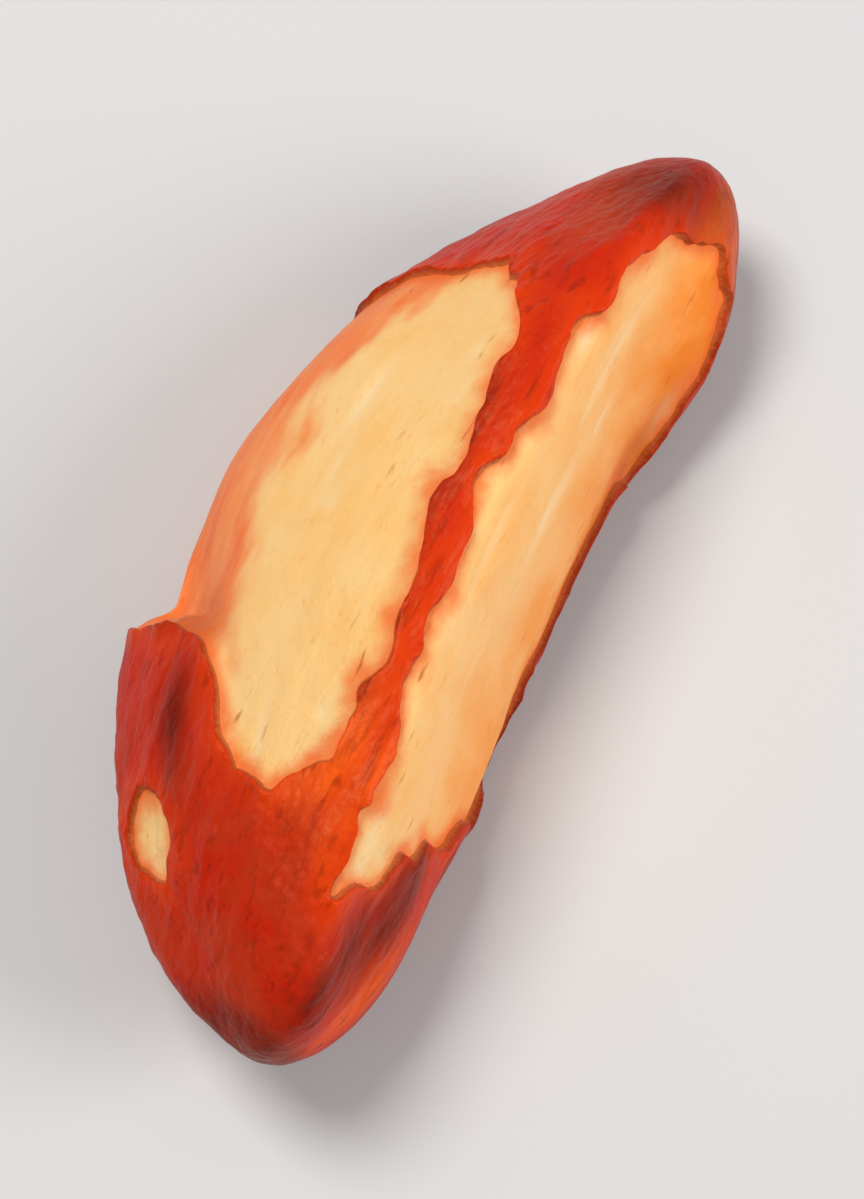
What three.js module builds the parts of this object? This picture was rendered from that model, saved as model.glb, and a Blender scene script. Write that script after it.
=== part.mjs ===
// One shelled Brazil nut kernel, lying on one of its two flat sides.
//
// The kernel is shaped like a segment of an orange. Two flat sides meet along the inner ridge, and a
// rounded back lies between the low and the high back ridge. It rests on its lower side, on a small
// flat spot. Brown seed coat is left on the ridges and on both ends, and stands a little proud of the
// peeled faces.
//
// Units are millimetres. +X runs from the blunt end to the narrow end, +Y points to the low back ridge
// and +Z points up. The origin is on the resting plane, under the middle of the kernel's box.

import * as THREE from "three";
import { mergeVertices } from "three/addons/utils/BufferGeometryUtils.js";

// Driving dimensions
const HALF_LENGTH = 20;
const TAPER = 0.13; // how much fuller the blunt end is, and how much leaner the narrow one
const ROUNDNESS = 2.1; // the exponent of the profile's curve: 2 is an ellipse, more is blunter
const CORE_HEIGHT = 5.38; // the core line's height above the resting plane, at mid-length
const CORE_SLOPE = -0.45; // the core line's rise from mid-length to the narrow end
const CORE_BOW = -3.6; // how far both tips bend towards the inner ridge
const CORE_SKEW = 0.6; // how much less the narrow tip bends, and how much more the blunt one
const TIP_LIFT = 0.5; // how far both tips rise above the middle of the core line
const TWIST = THREE.MathUtils.degToRad(-14); // the section's turn from mid-length to the narrow end
const COAT_THICKNESS = 0.28;
const COAT_EDGE = 0.35; // half the width of the step from coat to peeled face

// The mesh
const AROUND = 76;
const ALONG = 72;

// Each face of the section is an arc: the direction that it faces, from +Y towards +Z, its distance
// from the core line and its radius.
const FACES = {
  lowerSide: { facing: -90, reach: 5.5, radius: 20 },
  back: { facing: 53, reach: 5.7, radius: 17.5 },
  upperSide: { facing: 165, reach: 5.6, radius: 24 },
};
const RIDGE_SHARPNESS = 9;

// The outlines of the peeled patches. Each row gives a share of the kernel's length, from 0 at the blunt
// tip to 1 at the narrow tip, and the directions of the patch's two edges there, in degrees from +Y
// towards +Z. The ridges lie at about -19 (low back), 110 (high back) and 219 (inner).
const PEELED = {
  back: [
    [0.208, 56, 77],
    [0.23, 45, 87],
    [0.27, 35, 95],
    [0.308, 27, 101],
    [0.322, -30, 101],
    [0.45, -42, 102],
    [0.56, -42, 98],
    [0.63, -40, 99],
    [0.69, -36, 98],
    [0.74, 0, 90],
    [0.772, 30, 78],
    [0.79, 46, 62],
  ],
  upperSide: [
    [0.14, 106, 110],
    [0.2, 110, 136],
    [0.235, 114, 157],
    [0.27, 111, 180],
    [0.31, 109, 205],
    [0.38, 111, 209],
    [0.5, 110, 205],
    [0.58, 108, 201],
    [0.67, 114, 204],
    [0.77, 112, 210],
    [0.86, 116, 206],
    [0.895, 127, 199],
    [0.922, 148, 176],
  ],
  lowerSide: [
    [0.13, 268, 276],
    [0.2, 246, 296],
    [0.3, 236, 306],
    [0.41, 231, 298],
    [0.53, 233, 292],
    [0.62, 238, 300],
    [0.72, 232, 306],
    [0.81, 247, 297],
    [0.88, 270, 278],
  ],
};

// A spot of peeled kernel near the blunt end, and an island of coat left on the lower side: the share
// of the length, the direction from the core line, and the half-lengths along and across.
const PEELED_SPOTS = [{ share: 0.134, direction: 4, along: 1.4, across: 1.45 }];
const COAT_ISLANDS = [{ share: 0.68, direction: 262, along: 2.4, across: 1.1 }];

// Where the peeled low back ridge is chipped off, next to the coat that is left, how deep, and how far
// from the coat it is as deep as that
const CHIPS = [
  { share: 0.345, direction: -8, along: 4.6, across: 3.4, depth: 1.7 },
  { share: 0.56, direction: -14, along: 5.5, across: 2.4, depth: 0.3 },
];
const CHIP_SLOPE = 1.3;

// The spot that the kernel rests on, which has no relief
const RESTING = { share: 0.47, direction: 266, along: 6, across: 3.2 };

// Shallow hollows, and swellings whose depth is below 0
const HOLLOWS = [
  { share: 0.56, direction: 60, along: 6.0, across: 2.4, depth: 0.22 },
  { share: 0.44, direction: 165, along: 7.5, across: 2.2, depth: 0.34 },
  { share: 0.76, direction: 160, along: 3.2, across: 1.8, depth: 0.22 },
  { share: 0.3, direction: 58, along: 2.6, across: 2.0, depth: 0.2 },
  { share: 0.14, direction: 118, along: 2.4, across: 2.6, depth: 0.3 },
  { share: 0.9, direction: 70, along: 2.4, across: 2.2, depth: 0.28 },
  { share: 0.78, direction: 275, along: 4.2, across: 2.4, depth: 0.3 },
  { share: 0.66, direction: 8, along: 6.0, across: 3.0, depth: -0.45 },
  { share: 0.84, direction: 212, along: 4.0, across: 3.0, depth: -0.6 },
  { share: 0.32, direction: 194, along: 4.0, across: 2.6, depth: -0.6 },
  { share: 0.15, direction: 182, along: 4.6, across: 2.6, depth: -0.85 },
];

// Slow waves of the surface: waves along and around the kernel, phase and height
const WAVES = [
  { along: 1.5, around: 1, phase: 0.6, height: 0.14 },
  { along: 2.6, around: 2, phase: 2.1, height: 0.1 },
  { along: 4.1, around: 3, phase: 4.4, height: 0.07 },
  { along: 5.7, around: 5, phase: 1.2, height: 0.045 },
];

// The ragged line of the coat's edge: waves along and around, phase and height
const RAGGED = [
  { along: 9.2, around: 4, phase: 0.9, height: 0.22 },
  { along: 15.1, around: 9, phase: 3.7, height: 0.14 },
  { along: 23.3, around: 7, phase: 5.2, height: 0.08 },
];

const { abs, cos, hypot, max, min, sin, sqrt } = Math;
const { clamp, degToRad, smoothstep } = THREE.MathUtils;

// The smallest turn from one direction to another, in radians
function turn(from, to) {
  return Math.atan2(sin(to - from), cos(to - from));
}

// The sum of a list of waves at a place from -1 to 1 along the kernel and a direction around it
function waveSum(waves, place, direction) {
  return waves.reduce(
    (sum, w) => sum + w.height * sin(w.along * place * 2 + w.around * direction + w.phase),
    0,
  );
}

// How far a face lies from the core line in a direction, at mid-length
function faceDistance(face, direction) {
  const off = cos(direction - degToRad(face.facing));
  const centre = face.radius - face.reach;
  return sqrt((centre * off) ** 2 + face.radius ** 2 - centre ** 2) - centre * off;
}

// The section's radius in a direction, at mid-length: the nearest face, rounded where two faces meet
function sectionRadius(direction) {
  const sum = Object.values(FACES).reduce(
    (total, face) => total + faceDistance(face, direction) ** -RIDGE_SHARPNESS,
    0,
  );
  return sum ** (-1 / RIDGE_SHARPNESS);
}

// The section's size along the kernel, as a share of its size at mid-length
function fullness(place) {
  return sqrt(max(0, 1 - abs(place) ** ROUNDNESS)) * (1 - TAPER * place);
}

// How many millimetres one radian of turn is, at a point of the kernel
function arcLength(place, direction) {
  return fullness(place) * sectionRadius(direction);
}

// A point of the smooth kernel
function bodyPoint(place, direction) {
  const turned = direction + TWIST * place;
  const radius = arcLength(place, direction);
  const rise = CORE_HEIGHT + CORE_SLOPE * place + TIP_LIFT * place ** 2;
  return new THREE.Vector3(
    HALF_LENGTH * place,
    CORE_BOW * place ** 2 + CORE_SKEW * place ** 3 + radius * cos(turned),
    rise + radius * sin(turned),
  );
}

// The corners of a peeled patch, one after another, as shares and directions in radians
function patchOutline(rows) {
  const low = rows.map(([share, edge]) => [share, degToRad(edge)]);
  const high = rows.map(([share, , edge]) => [share, degToRad(edge)]);
  return [...low, ...high.reverse()];
}

// How far inside a peeled patch a point lies, in millimetres, and below 0 outside it
function insidePatch(outline, place, direction) {
  const share = (place + 1) / 2;
  const arc = arcLength(place, direction);
  const middle = outline.reduce((sum, corner) => sum + corner[1], 0) / outline.length;
  const across = turn(middle, direction);
  const corners = outline.map((corner) => [
    (corner[0] - share) * 2 * HALF_LENGTH,
    (corner[1] - middle - across) * arc,
  ]);
  let nearest = Infinity;
  let enclosed = false;
  corners.forEach(([x, y], i) => {
    const [nextX, nextY] = corners[(i + 1) % corners.length];
    const [spanX, spanY] = [nextX - x, nextY - y];
    const squared = spanX ** 2 + spanY ** 2 || 1; // at the kernel's tips, corners meet
    const part = clamp(-(x * spanX + y * spanY) / squared, 0, 1);
    nearest = min(nearest, hypot(x + spanX * part, y + spanY * part));
    if (y > 0 !== nextY > 0 && x - (y * spanX) / spanY > 0) enclosed = !enclosed;
  });
  return enclosed ? nearest : -nearest;
}

// How far inside an oval mark a point lies, in millimetres, and below 0 outside it
function insideOval(mark, place, direction) {
  return (1 - ovalDistance(mark, place, direction)) * min(mark.along, mark.across);
}

// The distance from an oval mark's middle, as a share of its half-lengths
function ovalDistance(mark, place, direction) {
  const along = ((place + 1) / 2 - mark.share) * 2 * HALF_LENGTH;
  const across = turn(degToRad(mark.direction), direction) * arcLength(place, direction);
  return hypot(along / mark.along, across / mark.across);
}

const PATCHES = Object.values(PEELED).map(patchOutline);

// How far under the seed coat a point lies, in millimetres, and below 0 where the kernel is peeled
function coatCover(place, direction) {
  const peeled = max(
    ...PATCHES.map((outline) => insidePatch(outline, place, direction)),
    ...PEELED_SPOTS.map((spot) => insideOval(spot, place, direction)),
  );
  const ragged = waveSum(RAGGED, place, direction);
  const islands = COAT_ISLANDS.map((island) => insideOval(island, place, direction));
  return ragged + max(-peeled, ...islands);
}

// How strongly a mark shows at a point: fully in its middle, and not at all a little past its edge
function fade(mark, place, direction, exponent = 2) {
  return Math.exp(-(ovalDistance(mark, place, direction) ** exponent));
}

// How deep a list of hollow marks lies at a point
function depthOf(marks, place, direction) {
  return marks.reduce((sum, mark) => sum + mark.depth * fade(mark, place, direction), 0);
}

// The relief on the smooth kernel: slow waves, shallow hollows, the chipped ridge and the coat
function relief(place, direction) {
  const cover = coatCover(place, direction);
  const coat = smoothstep(cover, -COAT_EDGE, COAT_EDGE);
  const chips = depthOf(CHIPS, place, direction) * smoothstep(-cover, 0, CHIP_SLOPE);
  const hollows = depthOf(HOLLOWS, place, direction) + chips;
  const waves = waveSum(WAVES, place, direction) * min(1, 2 * fullness(place));
  return (waves - hollows + coat * COAT_THICKNESS) * (1 - fade(RESTING, place, direction, 4));
}

// A closed sphere whose vertices are shared, with its poles on the X axis
function sharedSphere() {
  const sphere = new THREE.SphereGeometry(1, AROUND, ALONG);
  sphere.rotateZ(-Math.PI / 2);
  sphere.deleteAttribute("normal");
  sphere.deleteAttribute("uv");
  return mergeVertices(sphere, 1e-5);
}

// The kernel's surface: the sphere is drawn out to the smooth kernel, raised by the relief along its
// normals, flattened where it would pass the resting plane, and centred over the origin.
function kernelGeometry() {
  const geometry = sharedSphere();
  const position = geometry.getAttribute("position");
  const places = [];
  const point = new THREE.Vector3();
  for (let i = 0; i < position.count; i += 1) {
    point.fromBufferAttribute(position, i);
    const place = clamp(point.x, -1, 1);
    const direction = Math.atan2(point.z, point.y);
    places.push([place, direction]);
    position.setXYZ(i, ...bodyPoint(place, direction));
  }
  geometry.computeVertexNormals();
  const normal = geometry.getAttribute("normal");
  const outward = new THREE.Vector3();
  places.forEach(([place, direction], i) => {
    outward.fromBufferAttribute(normal, i);
    point.fromBufferAttribute(position, i).addScaledVector(outward, relief(place, direction));
    position.setXYZ(i, point.x, point.y, max(0, point.z));
  });
  geometry.computeBoundingBox();
  const middle = geometry.boundingBox.getCenter(new THREE.Vector3());
  geometry.translate(-middle.x, -middle.y, 0);
  geometry.computeVertexNormals();
  return geometry;
}

const kernelSkin = new THREE.MeshStandardMaterial({
  color: new THREE.Color().setRGB(0.93, 0.7, 0.44, THREE.SRGBColorSpace),
  roughness: 0.5,
  metalness: 0,
});

const kernel = new THREE.Mesh(kernelGeometry(), kernelSkin);
kernel.name = "kernel";

const nut = new THREE.Group();
nut.add(kernel);

export default nut;
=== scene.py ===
import logging
import math
from dataclasses import dataclass
from enum import Enum
from functools import cached_property

import bmesh
import bpy
import numpy as np
from mathutils import Matrix, Vector


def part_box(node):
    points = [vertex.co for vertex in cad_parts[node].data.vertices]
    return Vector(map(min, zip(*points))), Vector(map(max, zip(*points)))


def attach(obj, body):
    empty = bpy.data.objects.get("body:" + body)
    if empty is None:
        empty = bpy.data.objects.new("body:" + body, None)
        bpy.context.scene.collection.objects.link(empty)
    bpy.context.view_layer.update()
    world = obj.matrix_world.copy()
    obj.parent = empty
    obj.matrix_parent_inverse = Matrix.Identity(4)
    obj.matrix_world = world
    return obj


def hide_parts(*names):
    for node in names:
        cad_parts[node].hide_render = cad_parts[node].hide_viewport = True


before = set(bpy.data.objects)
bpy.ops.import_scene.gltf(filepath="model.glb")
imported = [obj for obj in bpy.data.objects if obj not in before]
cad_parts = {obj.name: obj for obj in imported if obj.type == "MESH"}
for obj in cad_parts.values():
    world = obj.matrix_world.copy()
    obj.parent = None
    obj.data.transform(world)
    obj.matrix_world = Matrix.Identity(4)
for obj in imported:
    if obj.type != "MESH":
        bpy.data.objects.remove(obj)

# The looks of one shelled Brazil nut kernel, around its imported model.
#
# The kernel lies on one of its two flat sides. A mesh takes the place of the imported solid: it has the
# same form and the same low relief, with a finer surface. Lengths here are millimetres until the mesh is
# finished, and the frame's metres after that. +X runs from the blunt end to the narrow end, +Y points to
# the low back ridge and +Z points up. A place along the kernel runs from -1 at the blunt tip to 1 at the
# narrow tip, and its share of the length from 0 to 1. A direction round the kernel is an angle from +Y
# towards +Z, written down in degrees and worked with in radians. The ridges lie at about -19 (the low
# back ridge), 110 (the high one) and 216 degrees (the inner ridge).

log = logging.getLogger("kernel")

MM = 0.001
PHOTO_SIZE = (864, 1199)

Array = np.ndarray
Colour = tuple[float, float, float, float]
Pitch = tuple[float, float, float]
Span = tuple[float, float]


class Trait(Enum):
    """What the mesh tells the finish at each of its vertices: a strength, but for the cover."""

    COVER = "cover"  # the millimetres under the seed coat, below 0 where the kernel is peeled
    WARMTH = "warmth"  # how orange the flesh is: partly its own tone, partly painted shade towards the inner ridge
    FILM = "film"  # how much thin inner skin is left on the flesh
    SCUFF = "scuff"  # how scraped the flesh is
    PAINTED_FLESH_SHADE = "painted_flesh_shade"  # painted shade on the flesh: how brown-orange it is at the chip's foot and low by the inner ridge
    WEAR = "wear"  # how far the seed coat is worn down to orange-brown
    RUBBED = "rubbed"  # how far it is rubbed to bright orange
    SHADE = "shade"  # how dark it is: painted shade low down, on the blunt end and along one edge, and darker tips and stains
    BLOOM = "painted_sheen"  # how strongly a rosy sheen is painted on the seed coat at its ends


def srgb(red: int, green: int, blue: int) -> Colour:
    """Turns a colour as it looks on a screen into the linear one that a shader takes.

    Args:
        red: Red, from 0 to 255.
        green: Green, from 0 to 255.
        blue: Blue, from 0 to 255.

    Returns:
        The linear colour, with full alpha.
    """
    parts = [value / 255 for value in (red, green, blue)]
    linear = [p / 12.92 if p <= 0.04045 else ((p + 0.055) / 1.055) ** 2.4 for p in parts]
    return (*linear, 1.0)


def smoothstep(value: Array, low: Array | float, high: Array | float) -> Array:
    """Rises smoothly from 0 at low to 1 at high."""
    share = np.clip((value - low) / (high - low), 0, 1)
    return share * share * (3 - 2 * share)


def band(value: Array, low: float, full: float, last: Array | float, high: Array | float) -> Array:
    """Rises smoothly from 0 at low to 1 at full, and falls from 1 at last to 0 at high."""
    return smoothstep(value, low, full) * smoothstep(value, high, last)


def turn(start: Array | float, end: Array | float) -> Array:
    """Gives the smallest turn from one direction to another, in radians."""
    return np.arctan2(np.sin(end - start), np.cos(end - start))


def smooth_curve(rows: tuple[tuple[float, float], ...], share: Array) -> Array:
    """Runs smoothly through values that belong to shares of the kernel's length.

    Args:
        rows: The shares, which rise, and their values.
        share: Where to read the curve. Past its ends, it keeps the end value.

    Returns:
        The curve's values.
    """
    shares, values = np.array(rows).T
    after = np.clip(np.searchsorted(shares, share), 1, len(shares) - 1)
    step = smoothstep(share, shares[after - 1], shares[after])
    return values[after - 1] + (values[after] - values[after - 1]) * step


def headings(draw: np.random.Generator, count: int, fewest: float, most: float) -> Array:
    """Draws random headings for waves.

    Args:
        draw: Where the random numbers come from.
        count: How many headings to draw.
        fewest: The fewest waves in one unit of length.
        most: The most waves in one unit of length.

    Returns:
        A column for each wave: how much its angle grows along X, Y and Z.
    """
    heading = draw.normal(size=(3, count))
    return heading * (math.tau * draw.uniform(fewest, most, count) / np.linalg.norm(heading, axis=0))


@dataclass(frozen=True)
class Face:
    """One face of the section: an arc."""

    facing: float
    reach: float
    radius: float

    def distance(self, direction: Array) -> Array:
        """Gives how far the face lies from the core line.

        Args:
            direction: The directions to look in, in radians.

        Returns:
            The distance in each direction.
        """
        off = np.cos(direction - math.radians(self.facing))
        centre = self.radius - self.reach
        return np.sqrt((centre * off) ** 2 + self.radius**2 - centre**2) - centre * off


@dataclass(frozen=True)
class Form:
    """The smooth kernel, without its relief: a rounded, three-sided section along a bowed core line."""

    half_length: float = 20.0
    taper: float = 0.13  # how much smaller than halfway the section is towards the narrow tip
    roundness: float = 2.1  # 2 would make the ends round, and more makes them blunter
    core_height: float = 5.38
    core_slope: float = -0.45
    core_bow: float = -3.6
    core_skew: float = 0.6
    tip_lift: float = 0.5
    twist: float = math.radians(-14)
    ridge_sharpness: float = 9.0
    faces: tuple[Face, ...] = (
        Face(facing=-90, reach=5.5, radius=20),
        Face(facing=53, reach=5.7, radius=17.5),
        Face(facing=165, reach=5.6, radius=24),
    )

    def section_radius(self, direction: Array) -> Array:
        """Gives the section's radius at mid-length: the nearest face, rounded between faces."""
        total = sum(face.distance(direction) ** -self.ridge_sharpness for face in self.faces)
        return total ** (-1 / self.ridge_sharpness)

    def fullness(self, place: Array) -> Array:
        """Gives the section's size along the kernel, as a share of its size at mid-length."""
        return np.sqrt(np.maximum(0, 1 - np.abs(place) ** self.roundness)) * (1 - self.taper * place)


@dataclass(frozen=True)
class Sites:
    """Sites on the kernel: each one's place along it, and its direction from the core line."""

    form: Form
    place: Array
    direction: Array

    @property
    def share(self) -> Array:
        """Gives the sites' shares of the length, from 0 at the blunt tip to 1 at the narrow tip."""
        return (self.place + 1) / 2

    @property
    def degrees(self) -> Array:
        """Gives the sites' directions in degrees, from 0 to 360."""
        return np.degrees(self.direction) % 360

    @cached_property
    def fullness(self) -> Array:
        """Gives the section's size at each site, as a share of its size at mid-length."""
        return self.form.fullness(self.place)

    @cached_property
    def arc(self) -> Array:
        """Gives the millimetres across the kernel for one radian of turn."""
        return self.fullness * self.form.section_radius(self.direction)

    @cached_property
    def points(self) -> Array:
        """Gives the smooth kernel's point at each site.

        Returns:
            One row of X, Y and Z for each site, in millimetres.
        """
        form, place, radius = self.form, self.place, self.arc
        turned = self.direction + form.twist * place
        rise = form.core_height + form.core_slope * place + form.tip_lift * place**2
        bend = form.core_bow * place**2 + form.core_skew * place**3
        across, height = bend + radius * np.cos(turned), rise + radius * np.sin(turned)
        return np.column_stack([form.half_length * place, across, height])


@dataclass(frozen=True)
class Mark:
    """An oval mark on the kernel: its share of the length, direction, half-lengths and depth."""

    share: float
    direction: float
    along: float
    across: float
    depth: float = 0.0

    def distance(self, sites: Sites) -> Array:
        """Gives how far sites lie from the mark's middle.

        Args:
            sites: The sites.

        Returns:
            Their distances, as shares of the mark's half-lengths.
        """
        along = (sites.share - self.share) * 2 * sites.form.half_length
        across = turn(math.radians(self.direction), sites.direction) * sites.arc
        return np.hypot(along / self.along, across / self.across)

    def inside(self, sites: Sites) -> Array:
        """Gives the millimetres inside the mark, below 0 outside it."""
        return (1 - self.distance(sites)) * min(self.along, self.across)

    def fade(self, sites: Sites, exponent: float = 2.0) -> Array:
        """Gives how strongly the mark shows: 1 in its middle, 0 a little past its edge."""
        return np.exp(-(self.distance(sites) ** exponent))


def marked(marks: tuple[Mark, ...], sites: Sites) -> Array:
    """Gives how strongly a group of marks shows."""
    return sum(mark.fade(sites) for mark in marks)


@dataclass(frozen=True)
class Patch:
    """A peeled patch: shares of the length, each with the directions of its two edges there."""

    rows: tuple[tuple[float, float, float], ...]

    def outline(self) -> Array:
        """Lays out the patch's outline.

        Returns:
            Its corners, one after another, as shares and directions in radians.
        """
        shares, low, high = np.array(self.rows).T
        directions = np.radians(np.concatenate([low, high[::-1]]))
        return np.column_stack([np.concatenate([shares, shares[::-1]]), directions])

    def inside(self, sites: Sites) -> Array:
        """Gives the millimetres inside the patch, below 0 outside it.

        Args:
            sites: The sites to measure at.

        Returns:
            Their distances from the patch's outline.
        """
        corners = self.outline()
        middle = corners[:, 1].mean()
        corners[:, 1] -= middle
        across = turn(middle, sites.direction)
        length, share, arc = 2 * sites.form.half_length, sites.share, sites.arc
        nearest = np.full(len(arc), np.inf)
        enclosed = np.zeros(len(arc), bool)
        for ends in zip(corners, np.roll(corners, -1, 0)):
            first, second = [np.stack([(end[0] - share) * length, (end[1] - across) * arc]) for end in ends]
            span = second - first
            part = np.clip(-(first * span).sum(0) / np.maximum((span**2).sum(0), 1e-12), 0, 1)
            nearest = np.minimum(nearest, np.hypot(*(first + span * part)))
            spans = (first[1] > 0) != (second[1] > 0)
            reach = first[0] - first[1] * span[0] / np.where(spans, span[1], 1)
            enclosed ^= spans & (reach > 0)
        return np.where(enclosed, nearest, -nearest)


@dataclass(frozen=True)
class Wave:
    """One smooth wave over the kernel."""

    along: float  # a quarter of the radians that it runs through from tip to tip
    around: int  # how many times it repeats round the kernel
    phase: float
    height: float

    def at(self, sites: Sites) -> Array:
        """Gives the wave's height."""
        angle = self.along * sites.place * 2 + self.around * sites.direction + self.phase
        return self.height * np.sin(angle)


@dataclass(frozen=True)
class Grain:
    """Smooth noise over the kernel: waves in random directions, with finer ones added."""

    pitch: Pitch
    octaves: int
    seed: int
    height: float = 1.0
    count: int = 16

    def at(self, sites: Sites) -> Array:
        """Gives the noise's height.

        Args:
            sites: The sites to measure at.

        Returns:
            The heights, most of them less than the noise's own height above or below 0.
        """
        draw, spots = np.random.default_rng(self.seed), sites.points / np.array(self.pitch)
        total = np.zeros(len(spots))
        for octave in range(self.octaves):
            heading = 2**octave * headings(draw, self.count, 0.7, 1.3)
            phase = draw.uniform(0, math.tau, self.count)
            total += np.sin(spots @ heading + phase).sum(1) / 2**octave
        return self.height * (total / math.sqrt(2 * self.count))


@dataclass(frozen=True)
class Tear:
    """Noise over the kernel with straight slopes and sharp turns, as a torn edge has."""

    pitch: Pitch
    seed: int
    height: float
    count: int = 5

    def at(self, sites: Sites) -> Array:
        """Gives the noise's height.

        Args:
            sites: The sites to measure at.

        Returns:
            The heights.
        """
        draw, spots = np.random.default_rng(self.seed), sites.points / np.array(self.pitch)
        heading = headings(draw, self.count, 0.6, 1.4)
        waves = np.sin(spots @ heading + draw.uniform(0, math.tau, self.count))
        return self.height * (np.arcsin(waves).mean(1) * 2 / math.pi)


@dataclass(frozen=True)
class SeedCoat:
    """Where the seed coat is left on the kernel, and how it stands out of it."""

    thickness: float = 0.28
    edge: float = 0.045
    lip: float = 0.12
    lip_width: float = 0.4
    curl: Grain = Grain(pitch=(3.0, 1.5, 1.5), octaves=2, seed=31)
    torn: Tear = Tear(pitch=(4.2, 2.0, 2.0), seed=4, height=0.35)
    frayed: Tear = Tear(pitch=(1.1, 0.6, 0.6), seed=9, height=0.1)
    peeled: tuple[Patch, ...] = (
        Patch(
            rows=(
                (0.208, 56, 77),
                (0.23, 45, 87),
                (0.27, 35, 95),
                (0.308, 27, 101),
                (0.322, -30, 101),
                (0.45, -42, 102),
                (0.56, -42, 98),
                (0.63, -40, 99),
                (0.69, -36, 98),
                (0.74, 0, 90),
                (0.772, 30, 78),
                (0.79, 46, 62),
            )
        ),
        Patch(
            rows=(
                (0.14, 106, 110),
                (0.2, 110, 136),
                (0.235, 114, 157),
                (0.27, 111, 180),
                (0.31, 109, 205),
                (0.38, 111, 209),
                (0.5, 110, 205),
                (0.58, 108, 201),
                (0.67, 114, 204),
                (0.77, 112, 210),
                (0.86, 116, 206),
                (0.895, 127, 199),
                (0.922, 148, 176),
            )
        ),
        Patch(
            rows=(
                (0.13, 268, 276),
                (0.2, 246, 296),
                (0.3, 236, 306),
                (0.41, 231, 298),
                (0.53, 233, 292),
                (0.62, 238, 300),
                (0.72, 232, 306),
                (0.81, 247, 297),
                (0.88, 270, 278),
            )
        ),
    )
    peeled_spots: tuple[Mark, ...] = (Mark(share=0.134, direction=4, along=1.4, across=1.45),)
    islands: tuple[Mark, ...] = (Mark(share=0.68, direction=262, along=2.4, across=1.1),)
    ragged: tuple[Wave, ...] = (
        Wave(along=9.2, around=4, phase=0.9, height=0.22),
        Wave(along=15.1, around=9, phase=3.7, height=0.14),
        Wave(along=23.3, around=7, phase=5.2, height=0.08),
    )

    def cover(self, sites: Sites) -> Array:
        """Gives the millimetres under the seed coat, below 0 where the kernel is peeled.

        Args:
            sites: The sites to measure at.

        Returns:
            Their distances from the seed coat's torn edge.
        """
        bare = [mark.inside(sites) for mark in self.peeled + self.peeled_spots]
        islands = [island.inside(sites) for island in self.islands]
        smooth = np.maximum(-np.maximum.reduce(bare), np.maximum.reduce(islands))
        ragged = sum(wave.at(sites) for wave in self.ragged)
        return smooth + ragged + self.torn.at(sites) + self.frayed.at(sites)

    def height(self, sites: Sites, cover: Array) -> Array:
        """Gives the seed coat's height, with its edges curled up here and there.

        Args:
            sites: The sites to measure at.
            cover: The millimetres under the seed coat there.

        Returns:
            The heights over the peeled kernel.
        """
        curl = self.lip * np.maximum(0, 0.5 + self.curl.at(sites))
        lip = curl * np.exp(-((np.maximum(cover, 0) / self.lip_width) ** 2))
        return (self.thickness + lip) * self.presence(cover)

    def presence(self, cover: Array) -> Array:
        """Gives 1 where there is seed coat and 0 where the kernel is peeled, with a steep edge."""
        return smoothstep(cover, -self.edge, self.edge)


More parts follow.
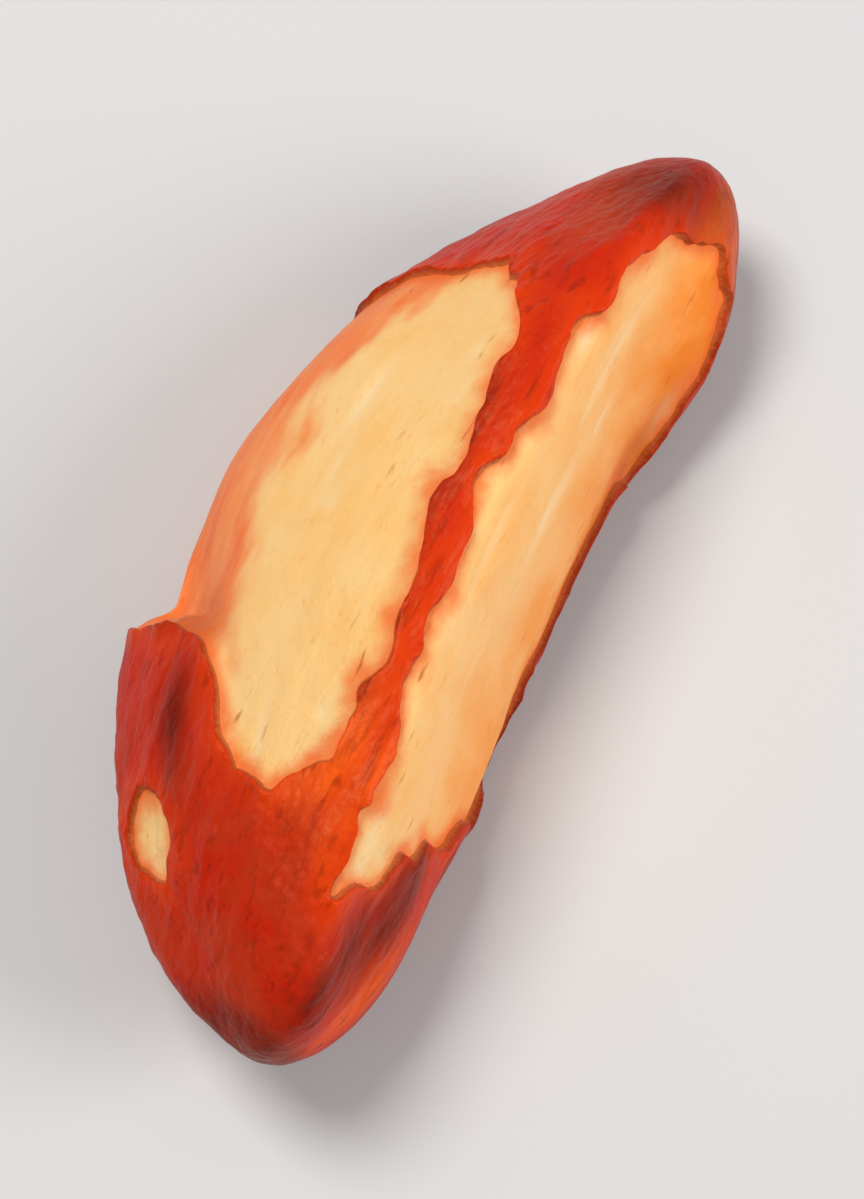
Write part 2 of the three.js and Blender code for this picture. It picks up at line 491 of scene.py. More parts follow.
@dataclass(frozen=True)
class Surface:
    """The relief of the whole kernel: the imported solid's own, and a finer one on it."""

    seed_coat: SeedCoat = SeedCoat()
    chips: tuple[Mark, ...] = (
        Mark(share=0.345, direction=-8, along=4.6, across=3.4, depth=1.7),
        Mark(share=0.56, direction=-14, along=5.5, across=2.4, depth=0.3),
    )
    chip_slope: float = 1.3
    resting: Mark = Mark(share=0.47, direction=266, along=6, across=3.2)
    hollows: tuple[Mark, ...] = (
        Mark(share=0.56, direction=60, along=6.0, across=2.4, depth=0.22),
        Mark(share=0.44, direction=165, along=7.5, across=2.2, depth=0.34),
        Mark(share=0.76, direction=160, along=3.2, across=1.8, depth=0.22),
        Mark(share=0.3, direction=58, along=2.6, across=2.0, depth=0.2),
        Mark(share=0.14, direction=118, along=2.4, across=2.6, depth=0.3),
        Mark(share=0.9, direction=70, along=2.4, across=2.2, depth=0.28),
        Mark(share=0.78, direction=275, along=4.2, across=2.4, depth=0.3),
        Mark(share=0.66, direction=8, along=6.0, across=3.0, depth=-0.45),
        Mark(share=0.84, direction=212, along=4.0, across=3.0, depth=-0.6),
        Mark(share=0.32, direction=194, along=4.0, across=2.6, depth=-0.6),
        Mark(share=0.15, direction=182, along=4.6, across=2.6, depth=-0.85),
    )
    waves: tuple[Wave, ...] = (
        Wave(along=1.5, around=1, phase=0.6, height=0.14),
        Wave(along=2.6, around=2, phase=2.1, height=0.1),
        Wave(along=4.1, around=3, phase=4.4, height=0.07),
        Wave(along=5.7, around=5, phase=1.2, height=0.045),
    )
    lumps: Grain = Grain(pitch=(5.0, 2.6, 2.6), octaves=3, seed=2, height=0.05)
    folds: Grain = Grain(pitch=(6.0, 1.2, 1.2), octaves=3, seed=7, height=0.06)
    nick_count: int = 60
    nick_depth: float = 0.1
    nick_seed: int = 11
    wave_growth: float = 2.0  # how fast the waves reach their full height from the tips
    fold_growth: float = 1.4  # how fast the folds do
    lumps_hidden: float = 0.5  # how much of the flesh's lumps the seed coat hides
    resting_sharpness: float = 4.0  # how suddenly the flat spot ends

    def depth(self, marks: tuple[Mark, ...], sites: Sites) -> Array:
        """Gives how deep a group of hollow marks lies."""
        return sum(mark.depth * mark.fade(sites) for mark in marks)

    def nicks(self) -> tuple[Mark, ...]:
        """Draws the small nicks and scrapes of the peeled flesh.

        Returns:
            The nicks, most of them long and thin.
        """
        draw = np.random.default_rng(self.nick_seed)
        return tuple(
            Mark(
                share=draw.uniform(0.08, 0.95),
                direction=draw.uniform(-40, 320),
                along=draw.uniform(0.3, 2.2),
                across=draw.uniform(0.16, 0.4),
                depth=self.nick_depth * draw.uniform(0.2, 1.0),
            )
            for _ in range(self.nick_count)
        )

    def scuffs(self, sites: Sites) -> Array:
        """Gives how scraped the flesh is, from 0 to 1."""
        return np.clip(self.depth(self.nicks(), sites) / self.nick_depth, 0, 1)

    def relief(self, sites: Sites, cover: Array) -> Array:
        """Gives the relief on the smooth kernel.

        Args:
            sites: The sites to measure at.
            cover: The millimetres under the seed coat there.

        Returns:
            The heights along the smooth kernel's normals, in millimetres.
        """
        coated = self.seed_coat.presence(cover)
        slow = sum(wave.at(sites) for wave in self.waves)
        slow = slow * np.minimum(1, self.wave_growth * sites.fullness)
        chipped = self.depth(self.chips, sites) * smoothstep(cover, 0, -self.chip_slope)
        nicked = self.depth(self.nicks(), sites) * (1 - coated)
        main = slow - self.depth(self.hollows, sites) - chipped - nicked
        folds = self.folds.at(sites) * coated * np.minimum(1, self.fold_growth * sites.fullness)
        fine = self.lumps.at(sites) * (1 - self.lumps_hidden * coated) + folds
        lifted = 1 - self.resting.fade(sites, self.resting_sharpness)
        return (main + self.seed_coat.height(sites, cover) + fine) * lifted


@dataclass(frozen=True)
class Colouring:
    """Where the kernel's colours change."""

    film_edge: tuple[tuple[float, float], ...] = (
        (0.3, 32),
        (0.41, 26),
        (0.5, 20),
        (0.58, 20),
        (0.68, 26),
        (0.78, 34),
    )
    film_fray: Grain = Grain(pitch=(5.0, 2.5, 2.5), octaves=4, seed=23, height=7.0)
    film_wear: Grain = Grain(pitch=(6.0, 2.0, 2.0), octaves=4, seed=29)
    # Painted shade on the flesh: at the chip's foot, and low on the second side by the inner ridge.
    flesh_shade_marks: tuple[Mark, ...] = (
        Mark(share=0.33, direction=12, along=1.7, across=1.6),
        Mark(share=0.71, direction=201, along=3.6, across=0.9),
    )
    rubbed_marks: tuple[Mark, ...] = (
        Mark(share=0.25, direction=100, along=2.8, across=2.0),
        Mark(share=0.09, direction=166, along=2.6, across=0.9),
    )
    # Dark marks on the seed coat: the first three darken it at the narrow tip, by the inner ridge and
    # beside the lens, and the last four are painted shade on the blunt end's upper side.
    dark_marks: tuple[Mark, ...] = (
        Mark(share=0.95, direction=100, along=2.2, across=2.6),
        Mark(share=0.87, direction=214, along=3.2, across=0.9),
        Mark(share=0.235, direction=20, along=2.4, across=0.8),
        Mark(share=0.055, direction=118, along=1.4, across=0.7),
        Mark(share=0.11, direction=130, along=2.0, across=0.9),
        Mark(share=0.165, direction=147, along=2.0, across=0.9),
        Mark(share=0.215, direction=155, along=2.0, across=1.0),
    )

    def warmth(self, sites: Sites) -> Array:
        """Gives how orange the flesh is: most towards the inner ridge and the narrow end, partly its own
        tone and partly painted shade where the second side turns from the light.

        Args:
            sites: The sites to judge.

        Returns:
            The warmth, mostly from 0 to 1.
        """
        upper_side = band(sites.degrees, 108, 128, 222, 262)
        inwards = band(sites.degrees, 125, 208, 222, 262)
        narrow = smoothstep(sites.share, 0.6, 0.92)
        return 0.04 + 0.24 * upper_side + (0.46 + 0.45 * narrow) * inwards + 0.12 * narrow

    def film(self, sites: Sites) -> Array:
        """Gives how much inner skin is left on the flesh: a worn rim along the low back ridge.

        Args:
            sites: The sites to judge.

        Returns:
            The film's strength, from 0 to 1.
        """
        edge = smooth_curve(self.film_edge, sites.share)
        around = np.where(sites.degrees > 200, sites.degrees - 360, sites.degrees)
        rim = band(around + self.film_fray.at(sites), -62, -34, edge - 8, edge + 12)
        worn = smoothstep(self.film_wear.at(sites), 1.1, -0.3)
        return rim * (0.8 + 0.2 * worn) * smoothstep(sites.share, 0.26, 0.31)

    def wear(self, sites: Sites) -> Array:
        """Gives how far the seed coat is worn down: only at the narrow tip, by the inner ridge."""
        side = band(sites.degrees, 122, 160, 225, 250)
        return 0.8 * smoothstep(sites.share, 0.84, 0.93) * side

    def shade(self, sites: Sites, cover: Array) -> Array:
        """Gives how dark the seed coat is: painted shade low down, darker tips, dark marks that are partly
        stains and partly painted shade, and a painted shadow along one edge.

        Args:
            sites: The sites to judge.
            cover: The millimetres under the seed coat there.

        Returns:
            The darkness, from 0 to 1.
        """
        # Painted shade: darker low down, towards the floor.
        low = smoothstep(sites.points[:, 2], 6.2, 1.5)
        tips = 1 - band(sites.share, 0.008, 0.035, 0.975, 1.0)
        shade_and_stains = np.minimum(1, marked(self.dark_marks, sites))
        # A painted shadow along the coat's edge on the lens side of the high back ridge.
        edge = smoothstep(sites.degrees, 105, 99) * smoothstep(cover, 0.75, 0.25)
        edge_shadow = edge * band(sites.share, 0.28, 0.36, 0.62, 0.72)
        return np.maximum.reduce([0.8 * low, 0.75 * tips, 0.88 * shade_and_stains, 0.6 * edge_shadow])

    def painted_sheen(self, sites: Sites) -> Array:
        """Gives how strongly a rosy sheen is painted on the seed coat: only at the ends, and most at the
        narrow one.
        """
        ends = 1 - band(sites.share, 0.12, 0.34, 0.74, 0.92)
        return (0.45 + 0.3 * smoothstep(sites.share, 0.4, 0.6)) * ends

    def values(self, sites: Sites, cover: Array, scuffs: Array) -> dict[Trait, Array]:
        """Gathers what the finish needs to know.

        Args:
            sites: The mesh's vertices, as sites on the kernel.
            cover: The millimetres under the seed coat there.
            scuffs: How scraped the flesh is there.

        Returns:
            Each trait's values.
        """
        return {
            Trait.COVER: cover,
            Trait.WARMTH: self.warmth(sites),
            Trait.FILM: self.film(sites),
            Trait.SCUFF: scuffs,
            Trait.PAINTED_FLESH_SHADE: marked(self.flesh_shade_marks, sites),
            Trait.WEAR: self.wear(sites),
            Trait.RUBBED: marked(self.rubbed_marks, sites),
            Trait.SHADE: self.shade(sites, cover),
            Trait.BLOOM: self.painted_sheen(sites),
        }


@dataclass(frozen=True, kw_only=True)
class Noise:
    """Lumpy noise in a finish, from 0 to 1. Its pitch is in millimetres."""

    pitch: float
    stretch: float = 1.0  # how many times longer it is along X
    detail: float = 3.0
    roughness: float = 0.5


@dataclass(frozen=True, kw_only=True)
class Blotches(Noise):
    """Noise made into soft-edged blotches: 0 where it is low and 1 where it is high."""

    low: float
    high: float


@dataclass(frozen=True, kw_only=True)
class Sway(Noise):
    """Noise from 0 to an amount, which is added to something else."""

    amount: float


class Wire:
    """An output of a shader node that takes part in Python expressions on values."""

    def __init__(self, graph: "Graph", socket: bpy.types.NodeSocket) -> None:
        """Holds the output and the graph that it belongs to."""
        self.graph = graph
        self.socket = socket

    def _math(self, operation: str, first: "Wire | float", second: "Wire | float") -> "Wire":
        """Adds a Math node."""
        return self.graph.node("ShaderNodeMath", {"operation": operation}, {0: first, 1: second})

    def __add__(self, other: "Wire | float") -> "Wire":
        """Adds two values."""
        return self._math("ADD", self, other)

    def __radd__(self, other: float) -> "Wire":
        """Adds this value to a number."""
        return self._math("ADD", other, self)

    def __sub__(self, other: "Wire | float") -> "Wire":
        """Takes a value from this one."""
        return self._math("SUBTRACT", self, other)

    def __rsub__(self, other: float) -> "Wire":
        """Takes this value from a number."""
        return self._math("SUBTRACT", other, self)

    def __mul__(self, other: "Wire | float") -> "Wire":
        """Multiplies two values."""
        return self._math("MULTIPLY", self, other)

    def __rmul__(self, other: float) -> "Wire":
        """Multiplies a number by this value."""
        return self._math("MULTIPLY", other, self)


class Graph:
    """The node tree of one material."""

    def __init__(self, name: str) -> None:
        """Makes the material, with no nodes in its tree.

        Args:
            name: The material's name.
        """
        self.material = bpy.data.materials.new(name)
        self.material.use_nodes = True
        self.tree = self.material.node_tree
        self.tree.nodes.clear()

    def node(self, kind: str, settings: dict, sockets: dict, output: int | str = 0) -> Wire:
        """Adds a node.

        Args:
            kind: The node's type.
            settings: The node's own settings, which are set first.
            sockets: A value or a wire for each input, by name or number.
            output: The output to give back, by name or number.

        Returns:
            That output.
        """
        made = self.tree.nodes.new(kind)
        for name, value in settings.items():
            setattr(made, name, value)
        for key, value in sockets.items():
            if isinstance(value, Wire):
                self.tree.links.new(value.socket, made.inputs[key])
            else:
                made.inputs[key].default_value = value
        return Wire(self, made.outputs[output])

    def coordinates(self, stretch: float = 1.0) -> Wire:
        """Gives the place on the object, in millimetres.

        Args:
            stretch: How many times longer patterns are along X.

        Returns:
            The coordinates.
        """
        place = self.node("ShaderNodeTexCoord", {}, {}, "Object")
        scale = (1 / MM / stretch, 1 / MM, 1 / MM)
        return self.node("ShaderNodeMapping", {}, {"Vector": place, "Scale": scale})

    def noise(self, noise: Noise) -> Wire:
        """Gives noise from 0 to 1.

        Args:
            noise: How the noise looks.

        Returns:
            The noise.
        """
        sockets = {
            "Vector": self.coordinates(noise.stretch),
            "Scale": 1 / noise.pitch,
            "Detail": noise.detail,
            "Roughness": noise.roughness,
        }
        return self.node("ShaderNodeTexNoise", {}, sockets)

    def blotches(self, blotches: Blotches) -> Wire:
        """Gives blotches, from 0 to 1."""
        return self.step(self.noise(blotches), blotches.low, blotches.high)

    def sway(self, sway: Sway) -> Wire:
        """Gives noise from 0 to its amount."""
        return self.noise(sway) * sway.amount

    def trait(self, trait: Trait) -> Wire:
        """Gives one of the mesh's own values."""
        settings = {"attribute_name": trait.value, "attribute_type": "GEOMETRY"}
        return self.node("ShaderNodeAttribute", settings, {}, "Fac")

    def step(self, value: Wire, low: float, high: float) -> Wire:
        """Rises smoothly from 0 at low to 1 at high."""
        sockets = {"Value": value, "From Min": low, "From Max": high}
        return self.node("ShaderNodeMapRange", {"interpolation_type": "SMOOTHSTEP"}, sockets)

    def blend(self, share: Wire | float, first: Wire | Colour, second: Wire | Colour) -> Wire:
        """Mixes two colours: the first at 0 and the second at 1."""
        return self.node("ShaderNodeMix", {"data_type": "RGBA"}, {0: share, 6: first, 7: second}, 2)

    def finish(self, shader: Wire) -> bpy.types.Material:
        """Shows a shader on the surface.

        Args:
            shader: The shader.

        Returns:
            The finished material.
        """
        output = self.tree.nodes.new("ShaderNodeOutputMaterial")
        self.tree.links.new(shader.socket, output.inputs["Surface"])
        return self.material


@dataclass(frozen=True)
class FleshFinish:
    """The peeled flesh: waxy, cream to orange, with a thin salmon film where skin is left, and painted
    shade in orange and brown.

    A span is in millimetres under the seed coat, which are below 0 on the flesh.
    """

    cream: Colour = srgb(255, 212, 144)
    deep: Colour = srgb(255, 196, 112)
    # the orange of the flesh's warmer tone, of the shade painted towards the inner ridge, and of the pores
    warm: Colour = srgb(246, 134, 34)
    film: Colour = srgb(250, 116, 50)
    scuff: Colour = srgb(255, 232, 190)
    # the brown-orange of the shade painted on the flesh
    painted_flesh_shade: Colour = srgb(196, 84, 24)
    fleck: Colour = srgb(170, 74, 34)
    roughness: float = 0.46
    mottle: Blotches = Blotches(pitch=3.2, detail=4.0, low=0.38, high=0.68)
    streaks: Blotches = Blotches(pitch=0.7, stretch=6.0, low=0.42, high=0.72)
    pores: Blotches = Blotches(pitch=0.22, stretch=2.5, detail=2.0, low=0.6, high=0.8)
    flecks: Blotches = Blotches(pitch=0.42, stretch=6.0, detail=2.0, low=0.66, high=0.75)
    border: Span = (-0.4, 0.7)  # where the film beside the seed coat fades in
    border_fray: Sway = Sway(pitch=1.1, detail=4.0, amount=1.2)
    flecked: Span = (-3.5, -0.3)  # where the flecks do
    grain: Sway = Sway(pitch=0.4, detail=4.0, roughness=0.65, amount=0.06)
    ripples: Sway = Sway(pitch=0.5, stretch=5.0, amount=0.07)

    def colour(self, graph: Graph, cover: Wire) -> Wire:
        """Builds the flesh's colour.

        Args:
            graph: The material's nodes.
            cover: The millimetres under the seed coat.

        Returns:
            The colour.
        """
        mottle, streaks = graph.blotches(self.mottle), graph.blotches(self.streaks)
        colour = graph.blend(mottle * 0.5 + streaks * 0.25, self.cream, self.deep)
        # Orange towards the inner ridge and the narrow end: partly the flesh's own tone, partly painted
        # shade.
        warmth = graph.trait(Trait.WARMTH) * (0.8 + 0.3 * mottle)
        colour = graph.blend(warmth, colour, self.warm)
        colour = graph.blend(graph.trait(Trait.SCUFF) * 0.5, colour, self.scuff)
        film = graph.trait(Trait.FILM) * (0.85 + 0.15 * streaks)
        colour = graph.blend(film, colour, self.film)
        border = graph.step(cover + graph.sway(self.border_fray), *self.border)
        colour = graph.blend(border * 0.9, colour, self.film)
        # Painted shade: brown-orange at the chip's foot and low by the inner ridge.
        painted_flesh_shade = graph.trait(Trait.PAINTED_FLESH_SHADE) * (0.55 + 0.4 * mottle)
        colour = graph.blend(painted_flesh_shade, colour, self.painted_flesh_shade)
        colour = graph.blend(graph.blotches(self.pores) * 0.3, colour, self.warm)
        flecks = graph.blotches(self.flecks) * graph.step(cover, *self.flecked)
        return graph.blend(flecks * 0.7, colour, self.fleck)

    def height(self, graph: Graph) -> Wire:
        """Builds the flesh's finest relief, in millimetres."""
        return graph.sway(self.grain) + graph.sway(self.ripples)


@dataclass(frozen=True)
class CoatFinish:
    """The seed coat: satin red-brown skin, orange where it is thin, with a painted sheen at the ends and
    painted shade.

    A span is in millimetres under the seed coat, from its edge inwards.
    """

    red: Colour = srgb(202, 34, 6)
    thin: Colour = srgb(222, 60, 6)
    rubbed: Colour = srgb(250, 96, 20)
    worn: Colour = srgb(214, 104, 24)
    # dark red-brown, for the veins and for the seed coat's painted shade and darker marks
    dark: Colour = srgb(96, 12, 4)
    # the rosy colour of the sheen painted at the ends
    painted_sheen: Colour = srgb(188, 66, 30)
    # the colour of the coat's cut edge and of the shade painted at its foot
    edge: Colour = srgb(134, 40, 10)
    roughness: float = 0.42
    fibres: Blotches = Blotches(pitch=1.1, stretch=7.0, detail=4.0, low=0.35, high=0.7)
    veins: Blotches = Blotches(pitch=0.45, stretch=7.0, roughness=0.6, low=0.52, high=0.7)
    clouds: Blotches = Blotches(pitch=2.6, detail=4.0, low=0.36, high=0.62)
    painted_sheen_span: Span = (0.3, 1.6)  # where the painted sheen fades in
    full: Span = (0.7, 2.2)  # where the thin rim turns into the full skin
    full_fray: Sway = Sway(pitch=1.6, amount=1.4)
    wrinkles: Sway = Sway(pitch=0.6, stretch=7.0, detail=4.0, roughness=0.55, amount=0.05)
    grain: Sway = Sway(pitch=0.35, roughness=0.6, amount=0.03)
    cells_per_mm: float = 3.6
    cell_stretch: float = 1.8
    cell_height: float = 0.035

    def colour(self, graph: Graph, cover: Wire) -> Wire:
        """Builds the seed coat's colour.

        Args:
            graph: The material's nodes.
            cover: The millimetres under the seed coat.

        Returns:
            The colour.
        """
        fibres, veins = graph.blotches(self.fibres), graph.blotches(self.veins)
        full = graph.step(cover + graph.sway(self.full_fray), *self.full)
        colour = graph.blend((1 - full) * (0.65 + 0.35 * fibres), self.red, self.thin)
        colour = graph.blend(graph.trait(Trait.RUBBED) * (0.4 + 0.6 * fibres), colour, self.rubbed)
        colour = graph.blend(graph.trait(Trait.WEAR) * (0.55 + 0.45 * fibres), colour, self.worn)
        colour = graph.blend(veins * 0.4, colour, self.dark)
        # A rosy sheen painted at the ends, in soft clouds.
        clouds = graph.blotches(self.clouds) * graph.step(cover, *self.painted_sheen_span)
        colour = graph.blend(graph.trait(Trait.BLOOM) * clouds, colour, self.painted_sheen)
        # Darker where the shade value says: painted shade low down, on the blunt end and along one edge,
        # and darker tips and stains.
        return graph.blend(graph.trait(Trait.SHADE) * (0.7 + 0.3 * fibres), colour, self.dark)

    def height(self, graph: Graph) -> Wire:
        """Builds the seed coat's finest relief.

        Args:
            graph: The material's nodes.

        Returns:
            The heights, in millimetres.
        """
        sockets = {"Vector": graph.coordinates(self.cell_stretch), "Scale": self.cells_per_mm}
        cells = graph.node("ShaderNodeTexVoronoi", {}, sockets) * self.cell_height
        return graph.sway(self.wrinkles) + graph.sway(self.grain) - cells


@dataclass(frozen=True)
class SkinFinish:
    """The kernel's whole finish: flesh and seed coat, parted by the coat's frayed edge."""

    flesh: FleshFinish = FleshFinish()
    coat: CoatFinish = CoatFinish()
    fray: Sway = Sway(pitch=0.16, amount=0.06)
    edge: Span = (-0.03, 0.03)  # where flesh turns into seed coat, in millimetres under the coat
    wall: Span = (-0.09, -0.03)  # where the darker wall between them begins: the coat's cut edge, with shade painted at its foot
    wall_end: Span = (0.0, 0.06)
    wall_strength: float = 0.55
    satin: Sway = Sway(pitch=1.3, amount=0.2)
    specular: float = 0.22
    sheen: Colour = (1.0, 0.68, 0.38, 1.0)
    glow: float = 0.12
    glow_depth: float = 0.9
    glow_colours: tuple[float, float, float] = (1.0, 0.45, 0.2)

    def colour(self, graph: Graph, cover: Wire, coated: Wire) -> Wire:
        """Builds the kernel's colour, with a darker wall where the seed coat ends: partly the coat's cut
        edge, partly shade painted at its foot.

        Args:
            graph: The material's nodes.
            cover: The millimetres under the seed coat.
            coated: How much of the seed coat is there.

        Returns:
            The colour.
        """
        colour = graph.blend(coated, self.flesh.colour(graph, cover), self.coat.colour(graph, cover))
        # The coat's cut edge, darkened partly as its own colour and partly as shade painted at its foot.
        wall = graph.step(cover, *self.wall) * (1 - graph.step(cover, *self.wall_end))
        return graph.blend(wall * self.wall_strength, colour, self.coat.edge)

    def material(self) -> bpy.types.Material:
        """Builds the material.

        Returns:
            The kernel's material.
        """
        graph = Graph("kernel_finish")
        cover = graph.trait(Trait.COVER) + (graph.noise(self.fray) - 0.5) * self.fray.amount
        coated = graph.step(cover, *self.edge)
        satin = graph.sway(self.satin) - self.satin.amount / 2
        roughness = self.flesh.roughness + satin + coated * (self.coat.roughness - self.flesh.roughness)
        height = self.flesh.height(graph) * (1 - coated) + self.coat.height(graph) * coated
        bump = graph.node("ShaderNodeBump", {}, {"Strength": 1.0, "Distance": MM, "Height": height})
        skin = {
            "Base Color": self.colour(graph, cover, coated),
            "Roughness": roughness,
            "Normal": bump,
            "Specular IOR Level": self.specular,
            "Specular Tint": self.sheen,
            "Subsurface Weight": self.glow,
            "Subsurface Radius": self.glow_colours,
            "Subsurface Scale": self.glow_depth * MM,
        }
        return graph.finish(graph.node("ShaderNodeBsdfPrincipled", {}, skin))


@dataclass(frozen=True)
class FloorFinish:
    """The floor: plain, pale and matt."""

    colour: Colour = srgb(216, 217, 219)
    roughness: float = 0.7
    specular: float = 0.2

    def material(self) -> bpy.types.Material:
        """Builds the material.

        Returns:
            The floor's material.
        """
        graph = Graph("floor_finish")
        paint = {
            "Base Color": self.colour,
            "Roughness": self.roughness,
            "Specular IOR Level": self.specular,
        }
        return graph.finish(graph.node("ShaderNodeBsdfPrincipled", {}, paint))


@dataclass(frozen=True)
class Kernel:
    """The kernel: its mesh and its finish."""

    form: Form = Form()
    surface: Surface = Surface()
    colouring: Colouring = Colouring()
    finish: SkinFinish = SkinFinish()
    around: int = 288
    along: int = 308
    halvings: int = 9
    margin: float = 0.03

    def sites(self, points: Array) -> Sites:
        """Gives the sites on the kernel that points of the sphere belong to."""
        unit = points / np.linalg.norm(points, axis=1, keepdims=True)
        return Sites(self.form, unit[:, 0], np.arctan2(unit[:, 2], unit[:, 1]))

    def cut(self, shell: bmesh.types.BMesh, level: float) -> None:
        """Cuts the sphere's faces along a line at one distance from the seed coat's edge.

        Args:
            shell: The sphere.
            level: The line's distance under the seed coat, in millimetres.
        """
        shell.verts.index_update()
        spots = np.array([vert.co[:] for vert in shell.verts])
        above = self.above(spots, level)
        crossed = [edge for edge in shell.edges if above[edge.verts[0].index] != above[edge.verts[1].index]]
        ends = np.array([[vert.index for vert in edge.verts] for edge in crossed])
        first, second = spots[ends[:, 0]], spots[ends[:, 1]]
        rising = above[ends[:, 1]]
        low, high = np.zeros(len(crossed)), np.ones(len(crossed))
        for _ in range(self.halvings):
            middle = (low + high) / 2
            past = self.above(first + (second - first) * middle[:, None], level) == rising
            low, high = np.where(past, low, middle), np.where(past, middle, high)
        share = np.clip(middle, self.margin, 1 - self.margin)
        made = []
        for edge, start, part in zip(crossed, ends[:, 0], share.tolist()):
            origin = edge.verts[0] if edge.verts[0].index == start else edge.verts[1]
            made.append(bmesh.utils.edge_split(edge, origin, part)[1])
        bmesh.ops.connect_verts(shell, verts=made)

    def above(self, points: Array, level: float) -> Array:
        """Tells which points of the sphere lie farther under the seed coat than a level."""
        return self.surface.seed_coat.cover(self.sites(points)) > level

    def sphere(self) -> bpy.types.Mesh:
        """Makes the sphere that becomes the kernel, with its poles on X and the coat's edge cut in.

        Returns:
            The sphere, one unit in radius.
        """
        shell = bmesh.new()
        bmesh.ops.create_uvsphere(shell, u_segments=self.around, v_segments=self.along, radius=1)
        bmesh.ops.rotate(shell, verts=shell.verts, matrix=Matrix.Rotation(math.pi / 2, 3, "Y"))
        for side in (-1, 1):
            self.cut(shell, side * self.surface.seed_coat.edge)
        bmesh.ops.triangulate(shell, faces=[face for face in shell.faces if len(face.verts) > 4])
        bmesh.ops.recalc_face_normals(shell, faces=shell.faces)
        mesh = bpy.data.meshes.new("kernel_skin")
        shell.to_mesh(mesh)
        shell.free()
        mesh.shade_smooth()
        return mesh

    def shape(self, mesh: bpy.types.Mesh) -> tuple[Sites, Array]:
        """Draws the sphere out to the kernel.

        Args:
            mesh: The sphere, which is changed.

        Returns:
            The vertices, as sites on the kernel, and the millimetres under the seed coat there.
        """
        flat = np.empty(len(mesh.vertices) * 3, np.float32)
        mesh.vertices.foreach_get("co", flat)
        sites = self.sites(flat.reshape(-1, 3).astype(float))
        cover = self.surface.seed_coat.cover(sites)
        smooth = sites.points
        mesh.vertices.foreach_set("co", smooth.astype(np.float32).ravel())
        mesh.update()
        mesh.vertex_normals.foreach_get("vector", flat)
        points = smooth + flat.reshape(-1, 3) * self.surface.relief(sites, cover)[:, None]
        points[:, 2] = np.maximum(points[:, 2], 0)
        mesh.vertices.foreach_set("co", self.in_box(points).astype(np.float32).ravel())
        mesh.update()
        return sites, cover

    def in_box(self, points: Array) -> Array:
        """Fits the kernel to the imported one's box.

        Args:
            points: The kernel's points, in millimetres.

        Returns:
            The points in the frame, in metres. It changes size by little more than a hundredth.
        """
        low, high = [np.array(corner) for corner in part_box("kernel")]
        own_low, own_high = points.min(0), points.max(0)
        scale = (high - low) / (own_high - own_low)
        log.info("fitted to the box by %s", np.round(scale / MM, 4).tolist())
        return low + (points - own_low) * scale

    def colour_in(self, mesh: bpy.types.Mesh, sites: Sites, cover: Array) -> None:
        """Writes the values that the finish reads, and puts the finish on.

        Args:
            mesh: The kernel's mesh.
            sites: Its vertices, as sites on the kernel.
            cover: The millimetres under the seed coat there.
        """
        values = self.colouring.values(sites, cover, self.surface.scuffs(sites))
        for trait, value in values.items():
            made = mesh.attributes.new(trait.value, "FLOAT", "POINT")
            made.data.foreach_set("value", value.astype(np.float32))
        mesh.materials.append(self.finish.material())

    def build(self) -> bpy.types.Object:
        """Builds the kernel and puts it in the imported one's place.

        Returns:
            The finished piece.
        """
        mesh = self.sphere()
        self.colour_in(mesh, *self.shape(mesh))
        piece = bpy.data.objects.new("kernel_skin", mesh)
        bpy.context.scene.collection.objects.link(piece)
        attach(piece, "root")
        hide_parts("kernel")
        return piece


@dataclass(frozen=True)
class Lamp:
    """One soft area light, placed round the kernel as the camera sees it."""

    name: str
    right: float
    up: float
    back: float
    size: float
    power: float
    distance: float = 0.5
    colour: tuple[float, float, float] = (1.0, 0.97, 0.92)


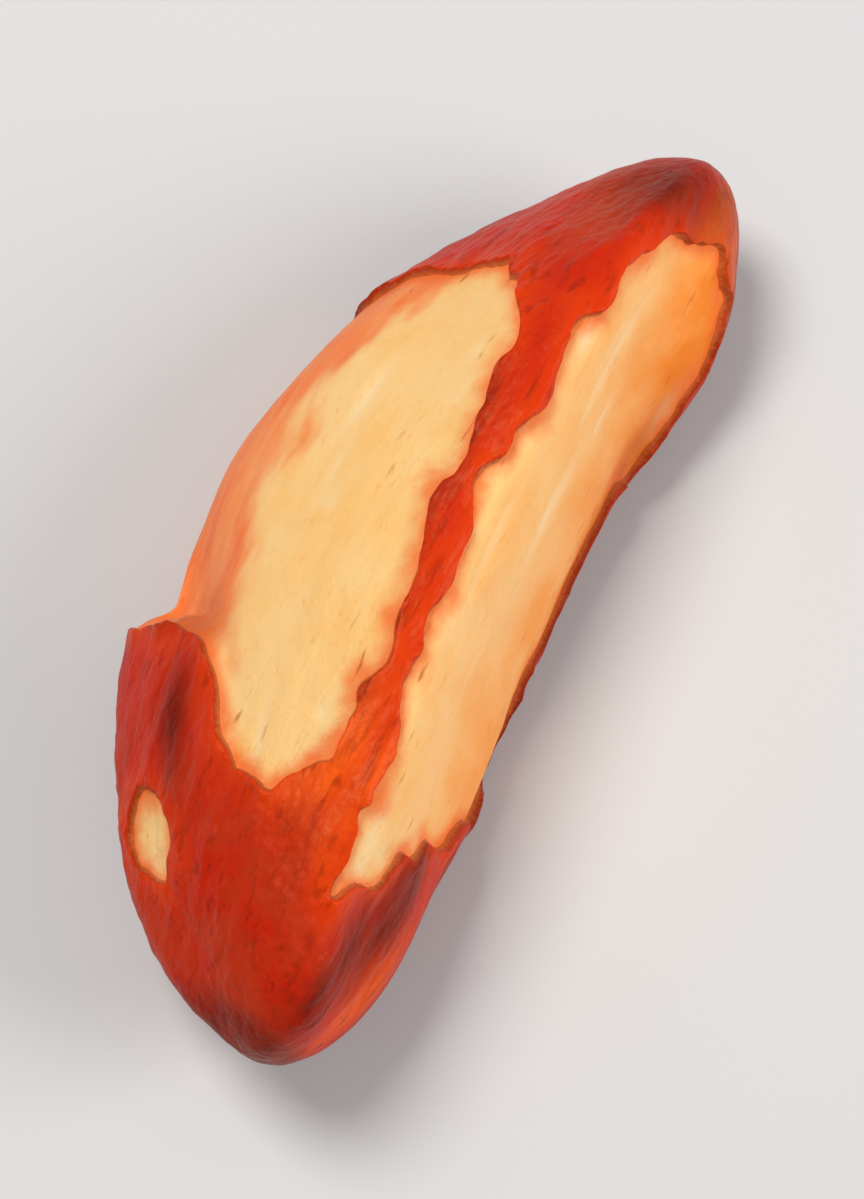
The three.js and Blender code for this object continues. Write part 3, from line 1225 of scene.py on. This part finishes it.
@dataclass(frozen=True)
class Studio:
    """The plain floor, the soft lights and the camera."""

    piece: bpy.types.Object
    azimuth: float = math.radians(-61.5)
    elevation: float = math.radians(75)
    lens: float = 130.0
    sensor: float = 36.0
    clip: tuple[float, float] = (0.005, 20.0)
    fill: float = 0.76
    floor_half: float = 3.0
    floor_finish: FloorFinish = FloorFinish()
    sky_colour: Colour = srgb(248, 248, 250)
    sky_strength: float = 0.28
    lamps: tuple[Lamp, ...] = (
        Lamp(name="key", right=-0.35, up=0.55, back=0.85, size=0.22, power=1.7),
        Lamp(name="side", right=0.9, up=0.0, back=0.5, size=0.3, power=1.5),
    )

    def axes(self) -> tuple[Vector, Vector, Vector]:
        """Works out how the camera is turned.

        Returns:
            Its right, up and backward directions.
        """
        sine, cosine = math.sin(self.azimuth), math.cos(self.azimuth)
        level = math.cos(self.elevation)
        back = Vector((sine * level, -cosine * level, math.sin(self.elevation)))
        right = Vector((cosine, sine, 0))
        return right, back.cross(right), back

    def floor(self) -> bpy.types.Object:
        """Makes the plain pale floor.

        Returns:
            The floor.
        """
        slab = bmesh.new()
        bmesh.ops.create_grid(slab, x_segments=1, y_segments=1, size=self.floor_half)
        mesh = bpy.data.meshes.new("floor")
        slab.to_mesh(mesh)
        slab.free()
        mesh.materials.append(self.floor_finish.material())
        floor = bpy.data.objects.new("floor", mesh)
        bpy.context.scene.collection.objects.link(floor)
        return floor

    def light(self) -> None:
        """Makes the soft lights and the pale surroundings."""
        right, up, back = self.axes()
        middle = sum(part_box("kernel"), Vector()) / 2
        for lamp in self.lamps:
            data = bpy.data.lights.new(lamp.name, "AREA")
            data.shape, data.size = "DISK", lamp.size
            data.energy, data.color = lamp.power, lamp.colour
            towards = (right * lamp.right + up * lamp.up + back * lamp.back).normalized()
            made = bpy.data.objects.new(lamp.name, data)
            made.location = middle + towards * lamp.distance
            made.rotation_euler = towards.to_track_quat("Z", "Y").to_euler()
            bpy.context.scene.collection.objects.link(made)
        world = bpy.data.worlds.new("surroundings")
        world.use_nodes = True
        background = world.node_tree.nodes["Background"].inputs
        background["Color"].default_value = self.sky_colour
        background["Strength"].default_value = self.sky_strength
        bpy.context.scene.world = world

    def camera(self) -> bpy.types.Object:
        """Makes the camera, so that the kernel fills its share of the photograph's frame.

        Returns:
            The camera.
        """
        right, up, back = self.axes()
        points = [vertex.co for vertex in self.piece.data.vertices]
        spans = [(min(p @ axis for p in points), max(p @ axis for p in points)) for axis in (right, up)]
        depth = sum(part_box("kernel"), Vector()) @ back / 2
        middle = right * sum(spans[0]) / 2 + up * sum(spans[1]) / 2 + back * depth
        width, height = [high - low for low, high in spans]
        shown = max(height, width * PHOTO_SIZE[1] / PHOTO_SIZE[0]) / self.fill
        data = bpy.data.cameras.new("camera")
        data.lens, data.sensor_width = self.lens, self.sensor
        data.clip_start, data.clip_end = self.clip
        camera = bpy.data.objects.new("camera", data)
        camera.location = middle + back * (shown * self.lens / self.sensor)
        camera.rotation_euler = Matrix((right, up, back)).transposed().to_euler()
        bpy.context.scene.collection.objects.link(camera)
        bpy.context.scene.camera = camera
        return camera


def write_sizes() -> None:
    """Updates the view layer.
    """
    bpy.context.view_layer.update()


def main() -> None:
    """Builds the kernel, then its floor, lights and camera."""
    logging.basicConfig(level=logging.INFO, format="%(name)s: %(message)s")
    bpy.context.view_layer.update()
    kernel = Kernel().build()
    log.info("%s: %d vertices, %d faces", kernel.name, len(kernel.data.vertices), len(kernel.data.polygons))
    studio = Studio(kernel)
    log.info("%s: %.0f m across", studio.floor().name, 2 * studio.floor_half)
    studio.light()
    log.info("lamps: %s", ", ".join(lamp.name for lamp in studio.lamps))
    log.info("%s: %.0f mm lens", studio.camera().name, studio.lens)
    bpy.context.scene.view_settings.view_transform = "Standard"
    write_sizes()
    log.info("finished")


if __name__ == "__main__":
    main()
